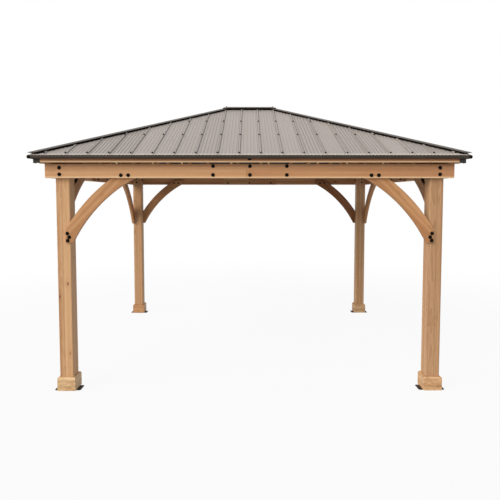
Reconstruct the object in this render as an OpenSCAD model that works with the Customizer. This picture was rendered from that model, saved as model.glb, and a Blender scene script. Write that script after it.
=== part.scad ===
// Garden gazebo with a hipped metal roof: four timber posts, curved knee braces, paired beams
// and a rafter frame that carries ribbed roofing sheets with folded hip and ridge caps.
// Millimetres. +Z is up, the front is -Y, the ridge runs along X, the origin is at ground level
// in the middle of the plan.

/* [Plan] */
// Length of the roof from left to right, eave to eave
roof_l = 4268; // [4000:2:4800]
// Width of the roof from front to back, eave to eave
roof_w = 3658; // [3300:2:3800]
// Roof pitch in degrees
pitch = 22.5; // [18:0.25:28]
// From the outer faces of the posts out to the eave edge
eave_overhang = 188; // [175:1:240]
// Ground to the underside of the beams
clear_h = 2175; // [2000:5:2500]

/* [Posts] */
// Side of the square post
post_w = 140; // [110:1:180]
// Eased edges of the posts
post_ease = 6; // [2:1:12]
// Height of the plinth boards round a post's foot
plinth_h = 140; // [90:1:220]
// Thickness of the plinth boards
plinth_t = 22; // [16:1:30]
// Level land on top of a plinth board, behind its bevel
plinth_land = 12; // [2:1:14]
// Open joint between neighbouring plinth boards
plinth_joint = 0.6; // [0.4:0.1:2]

/* [Base plates] */
// Thickness of the steel plate under a post
plate_t = 6; // [4:1:12]
// Width of the plate, front to back
plate_w = 120; // [80:1:136]
// How far the plate reaches past the plinth on each side
plate_reach = 40; // [30:1:60]
// Corner cut of the plate
plate_cut = 10; // [4:1:20]
// Diameter of the anchor holes
anchor_d = 12; // [8:1:16]
// Centre of an anchor hole from the plate's end
anchor_edge = 20; // [14:1:26]

/* [Beams] */
// Depth of the beam boards
beam_h = 140; // [120:1:190]
// Thickness of the beam boards
beam_t = 38; // [30:1:50]
// Length of the front and back beams past the side beams
beam_end = 24; // [0:1:60]
// Eased lower edges of the beam boards
beam_chamfer = 5; // [3:1:12]
// Butt joint of a beam's two boards, from the middle of the beam
joint_offset = 37; // [0:1:120]
// Gap left in that butt joint
joint_gap = 1; // [0.6:0.1:2]
// Length of the board that splices the joint from inside
splice_l = 900; // [700:10:1100]
// Thickness of the splice board
splice_t = 38; // [25:1:45]

/* [Braces] */
// Thickness of the knee braces
brace_t = 38; // [30:1:45]
// Width of a brace between its two curved edges
brace_w = 124; // [90:1:150]
// Radius of the brace's inner edge
brace_r = 1517; // [1200:1:2200]
// Foot of the brace below the underside of the beam
brace_drop = 650; // [500:5:800]
// From the post's outer face to the inner corner of the brace's foot
brace_foot = 166; // [155:1:185]
// From the post's outer face to where the inner edge meets the beam
brace_run = 793; // [650:1:900]
// How far the brace's foot laps over the post
brace_lap = 45; // [30:1:60]
// Depth of the housing cut in the post for the brace
brace_housing = 19; // [10:1:25]
// How far the brace's head stands up behind the beam
brace_rise = 75; // [50:1:110]
// Length of the brace's head past the meeting point with the beam
brace_head = 23; // [0:1:60]

/* [Roof frame] */
// Thickness of the rafters, hips and ridge
rafter_t = 38; // [30:1:50]
// Depth of the common rafters
rafter_h = 89; // [75:1:120]
// Depth of the hip rafters
hip_h = 114; // [95:1:140]
// Depth of the ridge board
ridge_h = 140; // [125:1:200]
// Common rafters, from the middle of the ridge
common_in = 184; // [100:1:250]
// First jack rafter, from the end of the ridge in plan
jack_first = 366; // [250:1:450]
// Second jack rafter, from the end of the ridge in plan
jack_second = 652; // [550:1:780]
// Third jack rafter, from the end of the ridge in plan
jack_third = 1010; // [880:1:1200]
// Level seat of a rafter on the beam
seat_l = 19; // [10:1:36]
// Thickness of the purlins and the packing that they give the sheets
purlin_t = 38; // [25:1:50]
// Width of the purlins along the slope
purlin_w = 64; // [40:1:90]
// Lower purlin, from the eave edge in plan
purlin_low = 633; // [450:1:750]
// Upper purlin, from the eave edge in plan
purlin_high = 1181; // [950:1:1350]
// Thickness of the fascia boards
fascia_t = 38; // [25:1:45]
// From the eave edge in to the face of the fascia
fascia_set = 40; // [25:1:55]
// Bottom of the fascia above the top of the beams
fascia_lift = 10; // [4:1:25]
// Slanted joint of a fascia's corner block, from the corner of the fascia
scarf_in = 88; // [70:1:200]
// Open gap in that joint
scarf_gap = 0.8; // [0.4:0.1:2]
// Leg of the corner brackets on the fascia
bracket_l = 60; // [35:1:65]
// Thickness of the corner brackets
bracket_t = 3; // [2:0.5:5]
// How far the corner brackets hang below the fascia
bracket_drop = 8; // [0:1:15]

/* [Roof metal] */
// Thickness of the sheets
sheet_t = 2; // [1.5:0.5:3]
// Distance between the lapped seams
seam_pitch = 209; // [180:1:260]
// Height of a seam
seam_h = 10; // [8:1:20]
// Width of a seam at its foot
seam_w = 20; // [16:1:40]
// Width of a seam on top
seam_top = 11; // [8:1:18]
// Length of the folded end that closes a seam at the eave
seam_end = 8; // [6:1:20]
// Small ribs between two seams
bead_count = 5; // [3:1:7]
// Height of a small rib
bead_h = 3; // [1.5:0.5:6]
// Width of a small rib
bead_w = 16; // [8:1:18]
// Gap between neighbouring sheets under a cap
hip_gap = 10; // [4:1:20]
// Wing of the hip and ridge caps, in plan
cap_w = 50; // [40:1:100]
// Thickness of the caps
cap_t = 2; // [1.5:0.5:3]
// Height of the closure strips between the seams and the hip caps
strip_h = 11; // [4:1:20]
// Width of the closure strips
strip_w = 14; // [8:1:18]
// From the edge of a cap in to its closure strip
strip_in = 6; // [2:1:10]
// Start of the hips' closure strips, from the eave edge in plan
strip_start = 15; // [5:1:60]
// Height of the ridge cap above the hip caps, filled by its closure strip
ridge_rise = 6; // [3:1:15]
// Height of the eave trim
trim_h = 32; // [24:1:45]
// How far the bowed face of the eave trim stands out in its middle
trim_bow = 7; // [3:1:10]
// Thickness of the eave trim
trim_t = 2; // [1.5:0.5:3]
// Inward lip at the bottom of the eave trim
trim_lip = 14; // [8:1:20]
// Leg of the caps on the corners of the eave trim
trim_cap_l = 24; // [20:1:50]
// Thickness of those corner caps
trim_cap_t = 5; // [2:0.5:8]
// Clearance between a corner cap and the trim
trim_cap_fit = 0.3; // [0.2:0.1:0.6]
// Open mitre at the corners of the trim and the caps
metal_mitre = 0.6; // [0.4:0.1:2]

/* [Hidden] */
$fn = 96;
half_l = roof_l / 2;
half_w = roof_w / 2;
// The ridge runs along the longer side
long_half = max(half_l, half_w);
short_half = min(half_l, half_w);
ridge_half = long_half - short_half;
post_x = half_l - eave_overhang;
post_y = half_w - eave_overhang;
beam_top = clear_h + beam_h;
beam_off = brace_t - brace_housing;
beam_face = beam_off + beam_t;
slope = tan(pitch);
fascia_z = beam_top + fascia_lift;
fascia_in = fascia_set + fascia_t;
// Outer face of the beams and heel of the rafters in plan, measured from the ridge line
beam_line = short_half - eave_overhang + beam_face;
heel = beam_line - seat_l;
over_rafter = (rafter_h + purlin_t) / cos(pitch);
sheet_eave_z = beam_top + slope * (heel - short_half) + over_rafter;
slope_l = short_half / cos(pitch);
seam_level = sheet_t + seam_h;
cap_level = seam_level + strip_h;
ridge_level = cap_level + cap_t + ridge_rise;
ridge_top = sheet_eave_z + slope * (short_half - rafter_t / 2);
hip_slope = slope / sqrt(2);
trim_low = sheet_eave_z - trim_h;
// Radius of the trim's bowed face, from its height and bow
trim_r = (pow(trim_bow, 2) + pow(trim_h / 2, 2)) / (2 * trim_bow);
above_all = sheet_eave_z + slope * short_half + 200;
wood = [0.76, 0.59, 0.42];
wood_shade = [0.68, 0.51, 0.35];
roof_grey = [0.64, 0.61, 0.58];
trim_brown = [0.28, 0.25, 0.23];
foam_black = [0.06, 0.05, 0.05];

// Underside of the sheets, at a distance in from the eave edge in plan
function sheet_z(d) = sheet_eave_z + slope * d;
// Top of the common rafters, at a distance from the ridge line in plan
function rafter_top_z(d) = beam_top + slope * (heel - d) + rafter_h / cos(pitch);
function rafter_under_z(d) = beam_top + slope * (heel - d);

// Places a piece of the right back corner at any corner
module to_corner(sx, sy) {
    if (sx > 0 && sy > 0) children();
    else if (sx < 0 && sy > 0) mirror([1, 0, 0]) children();
    else if (sx > 0) mirror([0, 1, 0]) children();
    else mirror([1, 0, 0]) mirror([0, 1, 0]) children();
}

module every_corner() {
    for (sx = [-1, 1], sy = [-1, 1]) to_corner(sx, sy) children();
}

// Turns a piece of the front side to another side
module to_back() { rotate([0, 0, 180]) children(); }
module to_left() { rotate([0, 0, -90]) children(); }
module to_right() { rotate([0, 0, 90]) children(); }

// Turns what is made for a ridge along X to the longer side
module along_ridge() { rotate([0, 0, roof_w > roof_l ? 90 : 0]) children(); }

// A profile drawn as [y, z] and drawn out along X, from x0 to x1
module along_x(x0, x1, profile) {
    translate([x0, 0, 0]) rotate([90, 0, 90]) linear_extrude(height = x1 - x0) polygon(profile);
}

// Frame of the front slope: X along the eave, Y up the slope, Z out of the underside of the sheets
module on_slope(eave) {
    translate([0, -eave, sheet_eave_z]) rotate([pitch, 0, 0]) children();
}

// What lies between two hips in plan, kept a gap away from them and from the ridge
module slope_plan(eave, half, gap) {
    cut = gap * sqrt(2);
    run = min(short_half - gap, half - cut);
    top = half - cut - run;
    low = [[-(half - cut), -eave], [half - cut, -eave]];
    high = top > 0 ? [[top, run - eave], [-top, run - eave]] : [[0, run - eave]];
    linear_extrude(height = above_all) polygon(concat(low, high));
}

// Base plates

module base_plate() {
    x = post_w / 2 + plinth_t + plate_reach;
    y = plate_w / 2;
    c = plate_cut;
    difference() {
        linear_extrude(height = plate_t) polygon([[-x + c, -y], [x - c, -y], [x, -y + c], [x, y - c],
            [x - c, y], [-x + c, y], [-x, y - c], [-x, -y + c]]);
        for (s = [-1, 1]) translate([s * (x - anchor_edge), 0, -1]) cylinder(d = anchor_d, h = plate_t + 2);
    }
}

module base_plates() {
    color(trim_brown) every_corner() translate([post_x - post_w / 2, post_y - post_w / 2, 0]) base_plate();
}

// Braces

// Centre of the brace's curve: radius brace_r through its foot and its meeting point with the beam,
// as [distance in from the post's outer face, height]
function brace_centre() =
    let (foot = [brace_foot, clear_h - brace_drop], head = [brace_run, clear_h])
    let (chord = head - foot, back = sqrt(pow(brace_r, 2) - pow(norm(chord) / 2, 2)))
    (head + foot) / 2 + back / norm(chord) * [chord[1], -chord[0]];

// Brace in an X-Z plane on the right back post: run_face is the post's outer face across the brace,
// lap_face the one that it is housed in
module brace_body(run_face, lap_face) {
    centre = brace_centre();
    foot_z = clear_h - brace_drop;
    inner = run_face - brace_run - brace_head;
    outer = run_face - post_w + brace_lap;
    translate([0, lap_face + beam_off, 0]) rotate([90, 0, 0]) intersection() {
        translate([run_face - centre[0], centre[1], 0]) difference() {
            cylinder(r = brace_r + brace_w, h = brace_t);
            translate([0, 0, -1]) cylinder(r = brace_r, h = brace_t + 2);
        }
        translate([inner, foot_z, 0]) cube([outer - inner, brace_drop + brace_rise, brace_t]);
    }
}

module brace_across() { color(wood) brace_body(post_x, post_y); }
module brace_along() { color(wood) mirror([1, -1, 0]) brace_body(post_y, post_x); }

// Posts and plinths

module post() {
    h = post_w / 2;
    e = h - post_ease;
    color(wood) difference() {
        translate([post_x - h, post_y - h, plate_t]) linear_extrude(height = beam_top - plate_t)
            polygon([[-e, -h], [e, -h], [h, -e], [h, e], [e, h], [-e, h], [-h, e], [-h, -e]]);
        brace_body(post_x, post_y);
        mirror([1, -1, 0]) brace_body(post_y, post_x);
    }
}

// Board in front of a post's foot, with its top bevelled
module plinth_board(half) {
    out = post_w / 2 + plinth_t;
    land = post_w / 2 + plinth_land;
    low = plinth_h - plinth_t + plinth_land;
    back = post_w / 2;
    along_x(-half, half, [[-out, 0], [-back, 0], [-back, plinth_h], [-land, plinth_h], [-out, low]]);
}

// A long board, bevelled at its ends too, that laps over the ends of the short ones
module plinth_lap_board() {
    out = post_w / 2 + plinth_t;
    land = post_w / 2 + plinth_land;
    low = plinth_h - plinth_t + plinth_land;
    intersection() {
        plinth_board(out);
        rotate([0, 0, 90]) along_x(-out, 0, [[-out, 0], [out, 0], [out, low], [land, plinth_h],
            [-land, plinth_h], [-out, low]]);
    }
}

module plinth() {
    color(wood) translate([post_x - post_w / 2, post_y - post_w / 2, plate_t]) {
        plinth_lap_board();
        to_back() plinth_lap_board();
        to_left() plinth_board(post_w / 2 - plinth_joint);
        to_right() plinth_board(post_w / 2 - plinth_joint);
    }
}

// Beams

// The two boards of a beam on the front side, butted beside the middle
module beam(face, half) {
    inner = -(face + beam_off);
    outer = -(face + beam_face);
    c = beam_chamfer;
    profile = [[outer, clear_h + c], [outer + c, clear_h], [inner - c, clear_h], [inner, clear_h + c],
        [inner, beam_top], [outer, beam_top]];
    color(wood) {
        along_x(-half, -joint_offset - joint_gap / 2, profile);
        along_x(-joint_offset + joint_gap / 2, half, profile);
    }
}

module cross_beam() { beam(post_y, post_x + beam_face + beam_end); }
module side_beam() { beam(post_x, post_y + beam_off); }

module splice(face) {
    translate([-splice_l / 2, -(face + beam_off), clear_h]) cube([splice_l, splice_t, beam_h]);
}

module beam_splices() {
    color(wood_shade) {
        splice(post_y);
        to_back() splice(post_y);
        to_left() splice(post_x);
        to_right() splice(post_x);
    }
}

// Blocks between the heads of the posts and the beams
module beam_packers() {
    color(wood_shade) every_corner() {
        translate([post_x - post_w, post_y, clear_h]) cube([post_w, beam_off, beam_h]);
        translate([post_x, post_y - post_w, clear_h]) cube([beam_off, post_w, beam_h]);
    }
}

// Roof frame

module ridge_board() {
    length = 2 * ridge_half + rafter_t;
    color(wood_shade) along_ridge() translate([-length / 2, -rafter_t / 2, ridge_top - ridge_h])
        cube([length, rafter_t, ridge_h]);
}

// Common rafter on the front side, centred on x = 0: start is its inner end and shift the distance of
// the slope's own ridge line from the middle of the plan
function rafter_profile(start, shift) =
    let (tail = short_half - fascia_in)
    [[-shift - start, rafter_under_z(start)], [-shift - start, rafter_top_z(start)],
        [-shift - tail, rafter_top_z(tail)], [-shift - tail, fascia_z], [-shift - beam_line, fascia_z],
        [-shift - beam_line, beam_top], [-shift - heel, beam_top]];

module rafter(shift) {
    along_x(-rafter_t / 2, rafter_t / 2, rafter_profile(rafter_t / 2, shift));
}

// Rafters of the front slope on both sides of its middle, which end on the ridge board or on the hips
module rafters(eave, half, places) {
    intersection() {
        for (s = [-1, 1], x = places) translate([s * x, 0, 0]) rafter(eave - short_half);
        slope_plan(eave, half, rafter_t / 2);
    }
}

module common_rafters() {
    color(wood_shade) along_ridge() {
        rafters(short_half, long_half, [common_in]);
        to_back() rafters(short_half, long_half, [common_in]);
    }
}

module jacks(eave, half) {
    ridge_end = half - short_half;
    rafters(eave, half, [for (x = [jack_first, jack_second, jack_third]) ridge_end + x]);
}

module jack_rafters() {
    color(wood_shade) along_ridge() {
        jacks(short_half, long_half);
        to_back() jacks(short_half, long_half);
        to_left() jacks(long_half, short_half);
        to_right() jacks(long_half, short_half);
    }
}

// Hip rafter from the side of the ridge's right end to the right front corner, along the diagonal
// of the plan
module hip_rafter() {
    drop = hip_slope * rafter_t / 2;
    depth = hip_h / cos(atan(hip_slope));
    tail = short_half - fascia_in;
    past = short_half;
    seat = heel + (rafter_h / cos(pitch) - drop - depth) / slope;
    profile = [for (p = [[0, rafter_top_z(0) - drop - depth], [0, rafter_top_z(0) - drop],
        [past, rafter_top_z(past) - drop], [past, beam_top], [seat, beam_top]])
        [-p[0] * sqrt(2), p[1]]];
    near = rafter_t / 2;
    intersection() {
        translate([ridge_half, 0, 0]) rotate([0, 0, 45]) along_x(-near, near, profile);
        translate([0, -tail, 0]) cube([ridge_half + tail, tail - near, above_all]);
    }
}

module hip_rafters() {
    color(wood_shade) along_ridge() every_corner() mirror([0, 1, 0]) hip_rafter();
}

module purlin(eave, half, row) {
    intersection() {
        on_slope(eave) translate([-half, row / cos(pitch) - purlin_w / 2, -purlin_t])
            cube([2 * half, purlin_w, purlin_t]);
        slope_plan(eave, half, 0);
    }
}

module purlins(eave, half) {
    color(wood_shade) for (row = [purlin_low, purlin_high]) purlin(eave, half, row);
}

module fascia(eave, half) {
    face = -eave + fascia_set;
    back = -eave + fascia_in;
    top = sheet_z(fascia_in);
    color(wood) difference() {
        intersection() {
            along_x(-half, half, [[face, fascia_z], [back, fascia_z], [back, top],
                [face, sheet_z(fascia_set)]]);
            slope_plan(eave, half, 0);
        }
        for (s = [-1, 1]) translate([s * (half - fascia_set - scarf_in), -eave, (fascia_z + top) / 2])
            rotate([0, -45 * s, 0]) translate([-scarf_gap / 2, 0, fascia_z - top])
                cube([scarf_gap, fascia_in + fascia_t, 2 * (top - fascia_z)]);
    }
}

module fascia_bracket() {
    top = sheet_z(fascia_set - bracket_t) - trim_t / cos(pitch) - bracket_t / 4;
    height = top - fascia_z + bracket_drop;
    t = bracket_t;
    translate([half_l - fascia_set, half_w - fascia_set, fascia_z - bracket_drop]) {
        translate([-bracket_l, 0, 0]) cube([bracket_l, t, height]);
        translate([0, -bracket_l, 0]) cube([t, bracket_l, height]);
        intersection() {
            cylinder(r = t, h = height);
            cube([2 * t, 2 * t, height]);
        }
    }
}

module fascia_brackets() { color(trim_brown) every_corner() fascia_bracket(); }

// Roof metal

function seam_points(x) =
    [[x - seam_w / 2, 0], [x - seam_top / 2, seam_h], [x + seam_top / 2, seam_h], [x + seam_w / 2, 0]];
// Middle of a seam's fold, filled down to the sheet
function seam_end_points(x) = [for (p = seam_points(x)) p + [0, sheet_t / 2]];
function seam_places(half) =
    let (last = floor(half / seam_pitch))
    [for (k = [-last - 2 : last + 1]) let (x = (k + 0.5) * seam_pitch) if (abs(x) + seam_w / 2 < half) x];
function bead_points(x) = [[x - bead_w / 2, 0], [x, bead_h], [x + bead_w / 2, 0]];

// Outline of the folded sheet between x = -half and half: a seam, then the small ribs of one panel
function sheet_outline(half) =
    let (last = floor(half / seam_pitch), step = seam_pitch / (bead_count + 1))
    let (starts = [for (k = [-last - 2 : last + 1]) (k + 0.5) * seam_pitch])
    let (shapes = [for (x = starts) each concat([[x, seam_w, seam_points(x)]],
        [for (j = [1 : bead_count]) [x + j * step, bead_w, bead_points(x + j * step)]])])
    [for (s = shapes) if (abs(s[0]) + s[1] / 2 < half) each s[2]];

module roof_sheet(eave, half) {
    outline = sheet_outline(half);
    under = concat([[-half, 0]], outline, [[half, 0]]);
    over = [for (i = [len(under) - 1 : -1 : 0]) under[i] + [0, sheet_t]];
    past = 100;
    color(roof_grey) intersection() {
        union() {
            on_slope(eave) translate([0, slope_l + past, 0]) rotate([90, 0, 0])
                linear_extrude(height = slope_l + 2 * past) polygon(concat(under, over));
            for (x = seam_places(half)) on_slope(eave) translate([0, seam_end, 0]) rotate([90, 0, 0])
                linear_extrude(height = seam_end + past) polygon(seam_end_points(x));
        }
        slope_plan(eave, half, hip_gap);
    }
}

// A flat plate over the front slope, cut to an outline in plan
module plate_on_slope(eave, half, level, plan, thick = cap_t) {
    intersection() {
        on_slope(eave) translate([-half, -short_half, level]) cube([2 * half, 3 * short_half, thick]);
        linear_extrude(height = above_all) polygon(plan);
    }
}

// Plan of a hip cap's wing beside the right-hand hip of the front slope
function wing_plan(eave, half, w) =
    let (c = w / sqrt(2), g = metal_mitre, top = half - short_half)
    top > c
        ? [[half, -eave], [top, short_half - eave], [top - c, short_half - eave - c], [half - 2 * c, -eave]]
        : [[half, -eave], [g, half - eave - g], [g, half - eave - 2 * c - g], [half - 2 * c, -eave]];

module hip_wing(eave, half) {
    plate_on_slope(eave, half, cap_level, wing_plan(eave, half, cap_w));
}

module hip_cap() {
    intersection() {
        union() {
            hip_wing(short_half, long_half);
            to_right() mirror([1, 0, 0]) hip_wing(long_half, short_half);
        }
        translate([0, -short_half, 0]) cube([long_half, short_half - metal_mitre, above_all]);
    }
}

module hip_caps() { color(trim_brown) along_ridge() every_corner() mirror([0, 1, 0]) hip_cap(); }

// The ridge cap is a small hipped roof that laps over the upper ends of the hip caps
module ridge_cap() {
    level = ridge_level;
    r = ridge_half;
    w = cap_w;
    long_plan = [[-r - w, -w], [r + w, -w], [r, 0], [-r, 0]];
    end_plan = [[-w, -r - w], [w, -r - w], [0, -r]];
    color(trim_brown) along_ridge() union() {
        plate_on_slope(short_half, long_half, level, long_plan);
        to_back() plate_on_slope(short_half, long_half, level, long_plan);
        to_left() plate_on_slope(long_half, short_half, level, end_plan);
        to_right() plate_on_slope(long_half, short_half, level, end_plan);
    }
}

// Closure strip on the seams, under the edge of the cap on the front slope's right-hand hip
module hip_strip(eave, half) {
    far = (cap_w - strip_in) * sqrt(2);
    near = far - strip_w * sqrt(2);
    s = strip_start;
    d = min(short_half - cap_w, half - far - metal_mitre);
    plan = [[half - s - far, s - eave], [half - s - near, s - eave],
        [half - d - near, d - eave], [half - d - far, d - eave]];
    plate_on_slope(eave, half, seam_level, plan, strip_h);
}

// Closure strip under the ridge cap's edge: a ring on the hip caps, deeper between them on the seams
module ridge_strip() {
    r = ridge_half;
    a = cap_w - strip_in;
    b = a - strip_w;
    z = cap_level + cap_t;
    deep = ridge_level - seam_level;
    low = r - cap_w / sqrt(2) - metal_mitre;
    long_plan = [[-r - a, -a], [r + a, -a], [r + b, -b], [-r - b, -b]];
    end_plan = [[-a, -r - a], [a, -r - a], [b, -r - b], [-b, -r - b]];
    deep_plan = [[-low, -a], [low, -a], [low, -b], [-low, -b]];
    for (t = [0, 180]) rotate([0, 0, t]) {
        plate_on_slope(short_half, long_half, z, long_plan, ridge_rise);
        if (low > 0) plate_on_slope(short_half, long_half, seam_level, deep_plan, deep);
    }
    for (t = [-90, 90]) rotate([0, 0, t]) plate_on_slope(long_half, short_half, z, end_plan, ridge_rise);
}

module closure_strips() {
    color(foam_black) along_ridge() {
        every_corner() mirror([0, 1, 0]) {
            hip_strip(short_half, long_half);
            to_right() mirror([1, 0, 0]) hip_strip(long_half, short_half);
        }
        ridge_strip();
    }
}

// Bowed shell on the front eave from x0 to x1, between two distances out from the trim's face
module bowed_shell(eave, x0, x1, inner, outer) {
    lap = trim_t / 2;
    intersection() {
        translate([x0, -eave + trim_r, trim_low + trim_h / 2]) rotate([0, 90, 0]) difference() {
            cylinder(r = trim_r + outer, h = x1 - x0);
            translate([0, 0, -1]) cylinder(r = trim_r + inner, h = x1 - x0 + 2);
        }
        translate([x0, -eave - trim_h, trim_low]) cube([x1 - x0, trim_h + trim_bow + lap, trim_h]);
    }
}

// The trim's bowed face with a flange under the sheet and a lip at the bottom
module eave_trim(eave, half) {
    t = trim_t;
    flange = trim_t / cos(pitch);
    back = -eave + trim_bow;
    end = -eave + fascia_set;
    intersection() {
        union() {
            bowed_shell(eave, -half, half, -t, 0);
            along_x(-half, half, [[back, sheet_eave_z - t], [back, sheet_z(trim_bow)],
                [end, sheet_z(fascia_set)], [end, sheet_z(fascia_set) - flange],
                [back + t, sheet_z(trim_bow + t) - flange], [back + t, sheet_eave_z - t]]);
            along_x(-half, half, [[back, trim_low], [-eave + trim_lip, trim_low],
                [-eave + trim_lip, trim_low + t], [back, trim_low + t]]);
        }
        slope_plan(eave + trim_bow, half + trim_bow, metal_mitre);
    }
}

module eave_trims() {
    color(trim_brown) {
        eave_trim(half_w, half_l);
        to_back() eave_trim(half_w, half_l);
        to_left() eave_trim(half_l, half_w);
        to_right() eave_trim(half_l, half_w);
    }
}

// One leg of the cap on the right-hand corner of the front trim
module trim_cap_leg(eave, half) {
    out = 2 * trim_cap_t;
    intersection() {
        bowed_shell(eave, half - trim_cap_l, half + out, trim_cap_fit, trim_cap_t);
        slope_plan(eave + out, half + out, 0);
    }
}

module trim_corner_cap() {
    trim_cap_leg(half_w, half_l);
    to_right() mirror([1, 0, 0]) trim_cap_leg(half_l, half_w);
}

module trim_corner_caps() { color(trim_brown) every_corner() mirror([0, 1, 0]) trim_corner_cap(); }

base_plates();
to_corner(-1, -1) post();  // post_front_left
to_corner(1, -1) post();  // post_front_right
to_corner(-1, 1) post();  // post_back_left
to_corner(1, 1) post();  // post_back_right
to_corner(-1, -1) plinth();  // plinth_front_left
to_corner(1, -1) plinth();  // plinth_front_right
to_corner(-1, 1) plinth();  // plinth_back_left
to_corner(1, 1) plinth();  // plinth_back_right
to_corner(-1, -1) brace_across();  // brace_front_left
to_corner(1, -1) brace_across();  // brace_front_right
to_corner(-1, 1) brace_across();  // brace_back_left
to_corner(1, 1) brace_across();  // brace_back_right
to_corner(-1, -1) brace_along();  // brace_left_front
to_corner(-1, 1) brace_along();  // brace_left_back
to_corner(1, -1) brace_along();  // brace_right_front
to_corner(1, 1) brace_along();  // brace_right_back
cross_beam();  // front_beam
to_back() cross_beam();  // back_beam
to_left() side_beam();  // left_beam
to_right() side_beam();  // right_beam
beam_splices();
beam_packers();
ridge_board();
hip_rafters();
common_rafters();
jack_rafters();
purlins(half_w, half_l);  // front_purlins
to_back() purlins(half_w, half_l);  // back_purlins
to_left() purlins(half_l, half_w);  // left_purlins
to_right() purlins(half_l, half_w);  // right_purlins
fascia(half_w, half_l);  // front_fascia
to_back() fascia(half_w, half_l);  // back_fascia
to_left() fascia(half_l, half_w);  // left_fascia
to_right() fascia(half_l, half_w);  // right_fascia
fascia_brackets();
roof_sheet(half_w, half_l);  // front_roof_sheet
to_back() roof_sheet(half_w, half_l);  // back_roof_sheet
to_left() roof_sheet(half_l, half_w);  // left_roof_sheet
to_right() roof_sheet(half_l, half_w);  // right_roof_sheet
closure_strips();
hip_caps();
ridge_cap();
eave_trims();
trim_corner_caps();
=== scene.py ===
import functools
import math
import bpy
import numpy as np
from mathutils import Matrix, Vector


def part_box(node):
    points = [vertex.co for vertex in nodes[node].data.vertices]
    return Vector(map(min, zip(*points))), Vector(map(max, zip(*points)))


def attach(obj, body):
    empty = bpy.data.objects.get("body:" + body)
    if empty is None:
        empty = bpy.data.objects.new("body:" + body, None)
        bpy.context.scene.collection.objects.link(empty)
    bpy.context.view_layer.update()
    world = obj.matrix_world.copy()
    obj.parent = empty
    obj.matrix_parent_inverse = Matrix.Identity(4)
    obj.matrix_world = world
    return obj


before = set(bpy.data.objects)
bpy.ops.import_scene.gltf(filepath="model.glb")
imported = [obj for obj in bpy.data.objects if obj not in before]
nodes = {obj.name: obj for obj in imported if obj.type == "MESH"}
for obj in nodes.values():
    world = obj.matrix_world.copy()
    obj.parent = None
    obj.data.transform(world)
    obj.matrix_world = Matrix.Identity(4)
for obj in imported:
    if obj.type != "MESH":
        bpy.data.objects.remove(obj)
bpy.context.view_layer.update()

scene = bpy.context.scene
scene.view_settings.view_transform = "Standard"

# sizes in metres that many pieces share, from the frame where it shows them
pitch = math.radians(22.5)
halfLong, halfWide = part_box("eave_trims")[1].x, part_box("eave_trims")[1].y
ridgeHalf = halfLong - halfWide
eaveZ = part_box("front_roof_sheet")[0].z  # underside of the sheets at the eave
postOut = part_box("post_front_right")[1].x, -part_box("post_front_right")[0].y  # outer faces of the posts
postWidth = 0.140
beamFace = -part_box("front_beam")[0].y - postOut[1]  # faces of beam and brace, past the post's
braceFace = -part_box("brace_front_left")[0].y - postOut[1]
braceBack = -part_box("brace_front_left")[1].y - postOut[1]
beamLow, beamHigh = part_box("front_beam")[0].z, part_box("front_beam")[1].z
fasciaFace, fasciaLow = -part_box("front_fascia")[0].y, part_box("front_fascia")[0].z
capWing, sheetThick = 0.050, 0.002
seamPitch, seamLevel = 0.209, 0.012  # spacing of the seams, and their tops over the sheets' underside


# a node's output that takes part in Python arithmetic, through Math nodes
class Wire:
    def __init__(self, paint, socket):
        self.paint, self.socket = paint, socket

    def also(self, name):  # another output of the same node
        return Wire(self.paint, self.paint.find(self.socket.node.outputs, name))

    def calc(self, operation, *values):
        return self.paint.node("Math", dict(operation=operation), values=values)

    def __add__(self, other): return self.calc("ADD", self, other)
    def __radd__(self, other): return self.calc("ADD", other, self)
    def __sub__(self, other): return self.calc("SUBTRACT", self, other)
    def __rsub__(self, other): return self.calc("SUBTRACT", other, self)
    def __mul__(self, other): return self.calc("MULTIPLY", self, other)
    def __rmul__(self, other): return self.calc("MULTIPLY", other, self)
    def __truediv__(self, other): return self.calc("DIVIDE", self, other)
    def __rtruediv__(self, other): return self.calc("DIVIDE", other, self)
    def __pow__(self, other): return self.calc("POWER", self, other)
    def __gt__(self, other): return self.calc("GREATER_THAN", self, other)
    def __lt__(self, other): return self.calc("LESS_THAN", self, other)
    def __abs__(self): return self.calc("ABSOLUTE", self)
    def fract(self): return self.calc("FRACT", self)
    def floor(self): return self.calc("FLOOR", self)
    def root(self): return self.calc("SQRT", self)
    def sine(self): return self.calc("SINE", self)
    def least(self, other): return self.calc("MINIMUM", self, other)
    def most(self, other): return self.calc("MAXIMUM", self, other)
    def centred(self): return self - 0.5  # for noises and chances, which run from 0 to 1

    def step(self, low, high):  # smooth step from 0 at low to 1 at high
        return self.paint.node("MapRange", dict(interpolation_type="SMOOTHSTEP"),
                               values=(self, low, high, 0.0, 1.0))


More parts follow.
